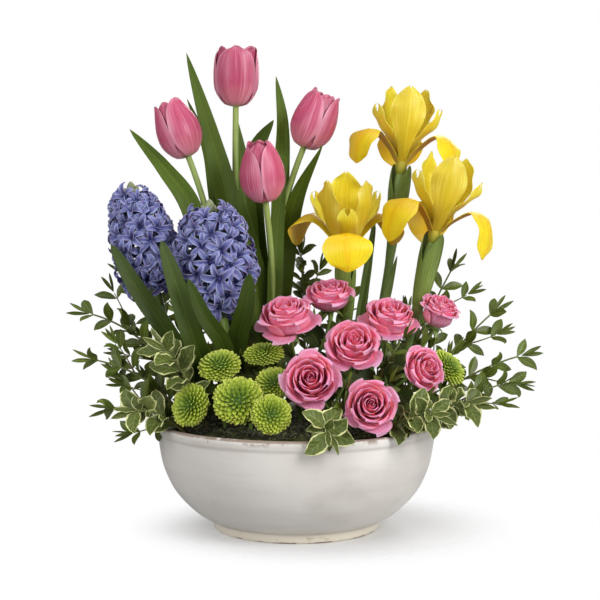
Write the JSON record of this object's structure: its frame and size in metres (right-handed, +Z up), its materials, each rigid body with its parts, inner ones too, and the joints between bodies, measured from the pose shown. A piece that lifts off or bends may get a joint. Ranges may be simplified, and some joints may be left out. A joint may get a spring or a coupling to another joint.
{
  "type": "spring flower arrangement in a footed bowl",
  "caption": "Spring arrangement of tulips, hyacinths, irises, spray roses, button chrysanthemums and leafy sprigs in florist's foam in a white glazed footed bowl.",
  "frame": {"origin": "middle of the bowl's flat foot, where the arrangement stands", "axes": "+Z up, -Y towards the front that the picture shows, +X to the viewer's right"},
  "size_m": [0.4305, 0.2814, 0.4594],
  "materials": {
    "glaze": "off-white pottery glaze with soft gloss, worn brown at the rim's edge, over a cream foot",
    "foam": "florist's foam with moss on top, dark green and brown, matte",
    "tulip_petal": "mid pink petals, paler at their edges and green-white at the base, satin",
    "tulip_leaf": "mid green with a grey bloom and long parallel veins, satin",
    "hyacinth_floret": "lavender blue florets with a darker stripe down each petal, waxy",
    "hyacinth_bud": "tight yellow-green buds, waxy",
    "hyacinth_leaf": "deep green strap leaves, smooth and slightly glossy",
    "iris_petal": "clear yellow petals with an orange signal on each fall, satin",
    "iris_leaf": "grey-green stem, sheath and narrow leaf, matte",
    "rose_petal": "pink petals, deeper at the heart and pale at their lips, velvety",
    "rose_stem": "green stem, sepals and leaves, satin",
    "button_petal": "lime green florets, darker at the middle, matte",
    "button_stem": "green stem and leaves, matte",
    "myrtle_leaf": "small dark green leaves on a brown-green twig, glossy",
    "pittosporum_leaf": "grey-green leaves with cream edges on a brown twig, satin"
  },
  "bodies": {
    "root": {"bowl": "glaze", "foam": "foam", "button_1": "button_petal", "button_2": "button_petal", "button_3": "button_petal", "button_4": "button_petal", "button_5": "button_petal", "button_6": "button_petal", "button_7": "button_petal", "button_spray_1_stems": "button_stem", "button_spray_2_stems": "button_stem", "button_spray_3_stems": "button_stem", "button_spray_4_stems": "button_stem", "hyacinth_1_buds": "hyacinth_bud", "hyacinth_1_spike": "hyacinth_floret", "hyacinth_1_stem": "hyacinth_leaf", "hyacinth_2_buds": "hyacinth_bud", "hyacinth_2_spike": "hyacinth_floret", "hyacinth_2_stem": "hyacinth_leaf", "iris_1_bloom": "iris_petal", "iris_1_stem": "iris_leaf", "iris_2_bloom": "iris_petal", "iris_2_stem": "iris_leaf", "iris_3_bloom": "iris_petal", "iris_3_stem": "iris_leaf", "myrtle_1": "myrtle_leaf", "myrtle_10": "myrtle_leaf", "myrtle_11": "myrtle_leaf", "myrtle_2": "myrtle_leaf", "myrtle_3": "myrtle_leaf", "myrtle_4": "myrtle_leaf", "myrtle_5": "myrtle_leaf", "myrtle_6": "myrtle_leaf", "myrtle_7": "myrtle_leaf", "myrtle_8": "myrtle_leaf", "myrtle_9": "myrtle_leaf", "pittosporum_1": "pittosporum_leaf", "pittosporum_2": "pittosporum_leaf", "pittosporum_3": "pittosporum_leaf", "pittosporum_4": "pittosporum_leaf", "pittosporum_5": "pittosporum_leaf", "rose_1": "rose_petal", "rose_2": "rose_petal", "rose_3": "rose_petal", "rose_4": "rose_petal", "rose_5": "rose_petal", "rose_6": "rose_petal", "rose_7": "rose_petal", "rose_8": "rose_petal", "rose_spray_1_stems": "rose_stem", "rose_spray_2_stems": "rose_stem", "rose_spray_3_stems": "rose_stem", "tulip_1_bloom": "tulip_petal", "tulip_1_stem": "tulip_leaf", "tulip_2_bloom": "tulip_petal", "tulip_2_stem": "tulip_leaf", "tulip_3_bloom": "tulip_petal", "tulip_3_stem": "tulip_leaf", "tulip_4_bloom": "tulip_petal", "tulip_4_stem": "tulip_leaf"}
  },
  "joints": []
}
